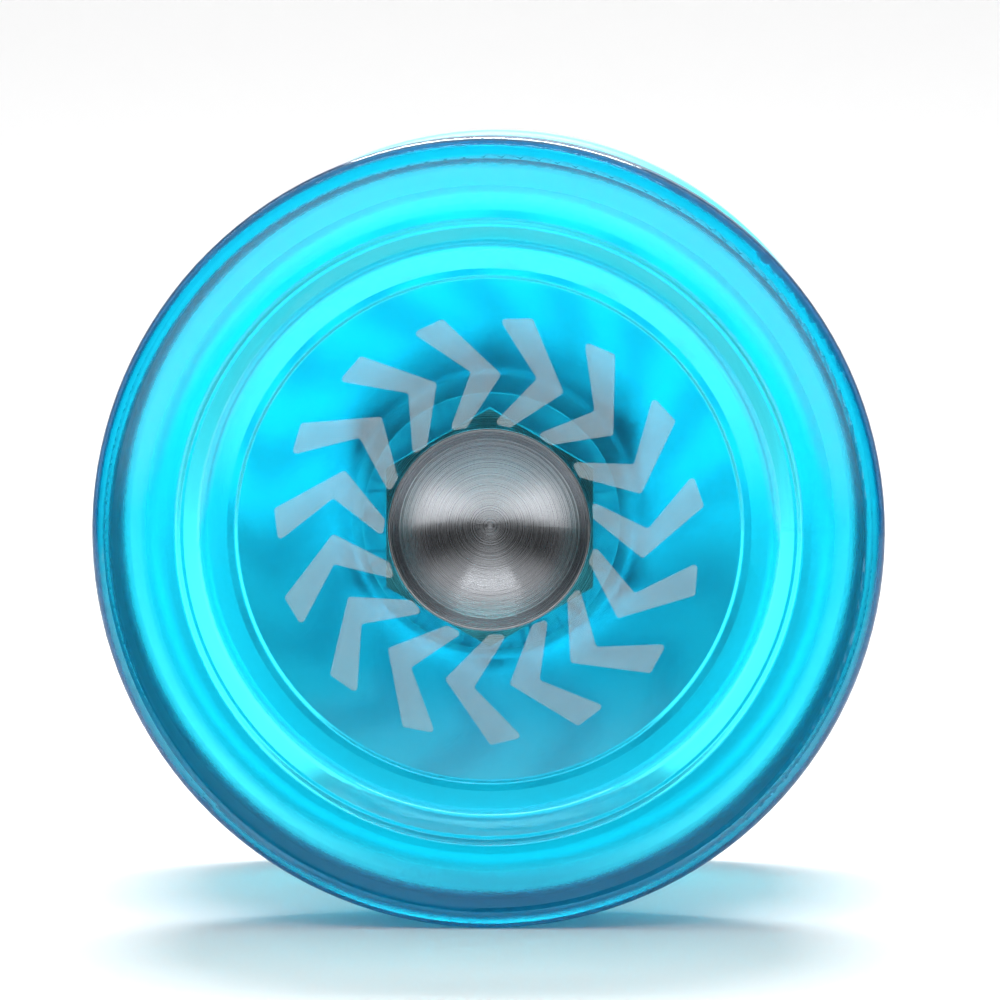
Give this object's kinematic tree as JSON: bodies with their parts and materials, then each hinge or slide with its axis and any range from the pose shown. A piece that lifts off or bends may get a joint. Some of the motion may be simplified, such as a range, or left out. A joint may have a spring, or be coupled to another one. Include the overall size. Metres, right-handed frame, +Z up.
{
  "type": "yo-yo",
  "caption": "Clear blue take-apart yo-yo: two dished plastic halves with turned metal hubs, joined by a threaded stud through a shielded ball bearing.",
  "frame": {"origin": "centre of the bearing, on the spin axis and midway between the halves", "axes": "+Y along the spin axis towards the rear half, +Z up, the front half faces -Y"},
  "size_m": [0.0572, 0.0422, 0.0572],
  "materials": {
    "clear_plastic": "clear, polished, tinted cyan blue",
    "turned_aluminium": "lathe turned with fine concentric rings",
    "axle_steel": "threaded stud, dark oxide",
    "race_steel": "ground and polished",
    "ball_steel": "mirror polished",
    "cage_steel": "pressed sheet",
    "shield_steel": "pressed sheet, satin",
    "clip_steel": "spring wire",
    "silicone": "soft, translucent, matt",
    "print_ink": "pad-printed pale grey-blue ink"
  },
  "bodies": {
    "rear_half": {"rear_body": "clear_plastic", "rear_hub": "turned_aluminium", "rear_response_pad": "silicone", "axle": "axle_steel"},
    "bearing_inner": {"bearing_inner_race": "race_steel"},
    "bearing_outer": {"bearing_outer_race": "race_steel", "bearing_shield_front": "shield_steel", "bearing_shield_rear": "shield_steel", "shield_clip_front": "clip_steel", "shield_clip_rear": "clip_steel"},
    "ball_train": {"bearing_cage_front": "cage_steel", "bearing_cage_rear": "cage_steel", "bearing_ball_1": "ball_steel", "bearing_ball_2": "ball_steel", "bearing_ball_3": "ball_steel", "bearing_ball_4": "ball_steel", "bearing_ball_5": "ball_steel", "bearing_ball_6": "ball_steel", "bearing_ball_7": "ball_steel", "bearing_ball_8": "ball_steel"},
    "front_half": {"front_body": "clear_plastic", "front_hub": "turned_aluminium", "front_response_pad": "silicone"}
  },
  "joints": [
    {"name": "bearing_draw_off", "type": "slide", "parent": "rear_half", "child": "bearing_inner", "axis": [0, -1, 0], "range_m": [0, 0.0077]},
    {"name": "front_half_unscrew", "type": "hinge", "parent": "bearing_inner", "child": "front_half", "pos_m": [0, 0, 0], "axis": [0, -1, 0], "range_deg": [0, 3960]},
    {"name": "bearing_spin", "type": "hinge", "parent": "bearing_inner", "child": "bearing_outer", "pos_m": [0, 0, 0], "axis": [0, -1, 0], "continuous": true},
    {"name": "cage_orbit", "type": "hinge", "parent": "bearing_inner", "child": "ball_train", "pos_m": [0, 0, 0], "axis": [0, -1, 0], "continuous": true}
  ],
  "couplings": [
    {"joint": "bearing_draw_off", "follows": "front_half_unscrew", "m_per_rad": 0.00011141},
    {"joint": "cage_orbit", "follows": "bearing_spin", "ratio": 0.60415}
  ]
}
